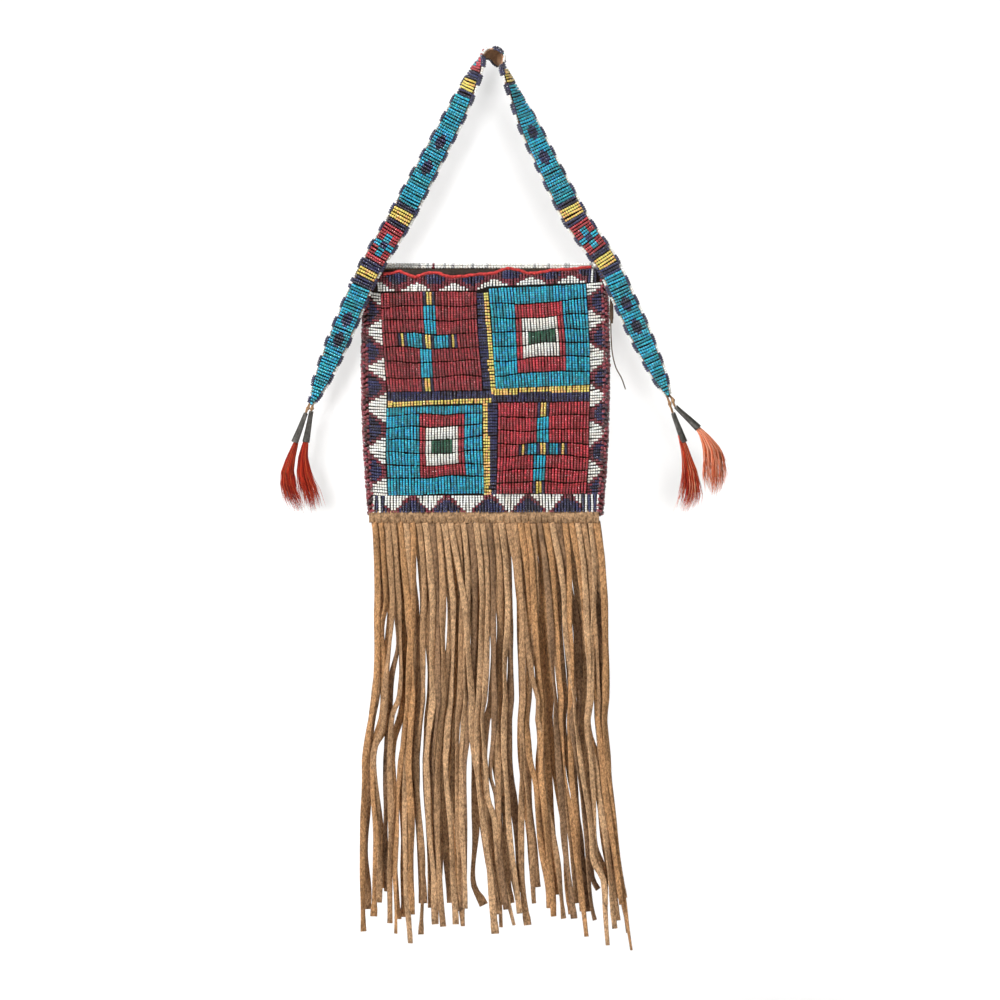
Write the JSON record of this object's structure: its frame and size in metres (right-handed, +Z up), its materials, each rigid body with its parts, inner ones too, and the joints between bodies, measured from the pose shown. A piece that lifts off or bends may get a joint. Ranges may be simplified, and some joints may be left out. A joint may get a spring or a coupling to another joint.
{
  "type": "beaded hide bag",
  "caption": "Flat beaded hide bag hung from a folded beaded strap with tasselled tab ends, a beaded geometric face and a long cut hide fringe.",
  "frame": {"origin": "middle of the underside of the strap's topmost fold, where the bag hangs", "axes": "+Z up along the bag, +Y out of its plain hide back, the beaded face looks along -Y"},
  "size_m": [0.3016, 0.0201, 0.5908],
  "materials": {
    "hide_brown": "matte hide",
    "hide_tan": "matte suede",
    "hide_dark": "dark worn hide",
    "beads_turquoise": "opaque glossy glass beads",
    "beads_navy": "opaque glossy glass beads",
    "beads_red": "opaque glossy glass beads",
    "beads_dark_red": "opaque glossy glass beads",
    "beads_white": "opaque glossy glass beads",
    "beads_green": "opaque glossy glass beads",
    "piping_red": "matte wool cloth",
    "tin": "dull tarnished sheet tin",
    "hair_red": "dyed horsehair"
  },
  "bodies": {
    "strap": {"strap_core": "hide_brown", "left_arm_beadwork": "beads_turquoise", "left_arm_outer_edging": "beads_navy", "left_arm_inner_edging": "beads_navy", "right_arm_beadwork": "beads_turquoise", "right_arm_outer_edging": "beads_navy", "right_arm_inner_edging": "beads_navy", "left_tie": "hide_dark", "right_tie": "hide_dark", "right_tie_lace": "hide_dark"},
    "left_tab": {"left_tab_core": "hide_brown", "left_tab_beadwork": "beads_turquoise", "left_tab_outer_edging": "beads_navy", "left_tab_inner_edging": "beads_navy"},
    "right_tab": {"right_tab_core": "hide_brown", "right_tab_beadwork": "beads_turquoise", "right_tab_outer_edging": "beads_navy", "right_tab_inner_edging": "beads_navy"},
    "left_outer_pendant": {"left_outer_pendant_thong": "hide_tan", "left_outer_pendant_cone": "tin", "left_outer_pendant_tuft": "hair_red"},
    "left_inner_pendant": {"left_inner_pendant_thong": "hide_tan", "left_inner_pendant_cone": "tin", "left_inner_pendant_tuft": "hair_red"},
    "right_inner_pendant": {"right_inner_pendant_thong": "hide_tan", "right_inner_pendant_cone": "tin", "right_inner_pendant_tuft": "hair_red"},
    "right_outer_pendant": {"right_outer_pendant_thong": "hide_tan", "right_outer_pendant_cone": "tin", "right_outer_pendant_tuft": "hair_red"},
    "pouch": {"front_panel": "hide_brown", "back_panel": "hide_tan", "left_edge_beading": "beads_dark_red", "right_edge_beading": "beads_dark_red", "mouth_piping": "piping_red", "back_mouth_rim": "beads_white", "upper_left_field": "beads_red", "upper_left_cross": "beads_turquoise", "upper_right_field": "beads_turquoise", "upper_right_frame": "beads_red", "upper_right_square": "beads_white", "upper_right_centre": "beads_green", "lower_left_field": "beads_turquoise", "lower_left_frame": "beads_red", "lower_left_square": "beads_white", "lower_left_centre": "beads_green", "lower_right_field": "beads_red", "lower_right_cross": "beads_turquoise", "top_border": "beads_white", "bottom_border": "beads_white", "left_border": "beads_navy", "right_border": "beads_dark_red", "upper_divider": "beads_navy", "lower_divider": "beads_navy", "left_divider": "beads_navy", "right_divider": "beads_navy", "fringe_hem": "hide_tan"},
    "fringe_back": {"back_fringe": "hide_tan"},
    "fringe_front": {"front_fringe": "hide_tan"}
  },
  "joints": [
    {"name": "pouch_swing", "type": "hinge", "parent": "strap", "child": "pouch", "pos_m": [-0.00325, 0.0075, -0.1377], "axis": [1, 0, 0], "range_deg": [0, 60]},
    {"name": "left_tab_flap", "type": "hinge", "parent": "strap", "child": "left_tab", "pos_m": [-0.084, 0, -0.1539], "axis": [-0.9203, 0, 0.3913], "range_deg": [0, 35]},
    {"name": "right_tab_flap", "type": "hinge", "parent": "strap", "child": "right_tab", "pos_m": [0.0794, 0, -0.1457], "axis": [-0.9092, 0, -0.4165], "range_deg": [0, 35]},
    {"name": "left_outer_pendant_swing", "type": "hinge", "parent": "left_tab", "child": "left_outer_pendant", "pos_m": [-0.11816, 0, -0.23116], "axis": [-1, 0, 0], "range_deg": [-45, 45]},
    {"name": "left_inner_pendant_swing", "type": "hinge", "parent": "left_tab", "child": "left_inner_pendant", "pos_m": [-0.11595, 0, -0.2321], "axis": [-1, 0, 0], "range_deg": [-45, 45]},
    {"name": "right_inner_pendant_swing", "type": "hinge", "parent": "right_tab", "child": "right_inner_pendant", "pos_m": [0.11528, 0, -0.22692], "axis": [-1, 0, 0], "range_deg": [-45, 45]},
    {"name": "right_outer_pendant_swing", "type": "hinge", "parent": "right_tab", "child": "right_outer_pendant", "pos_m": [0.11747, 0, -0.22592], "axis": [-1, 0, 0], "range_deg": [-45, 45]},
    {"name": "fringe_swing", "type": "hinge", "parent": "pouch", "child": "fringe_back", "pos_m": [-0.00325, 0.0075, -0.3077], "axis": [1, 0, 0], "range_deg": [-45, 45]},
    {"name": "front_fringe_lift", "type": "hinge", "parent": "fringe_back", "child": "fringe_front", "pos_m": [-0.00325, 0.0075, -0.3077], "axis": [1, 0, 0], "range_deg": [-20, 0]}
  ]
}
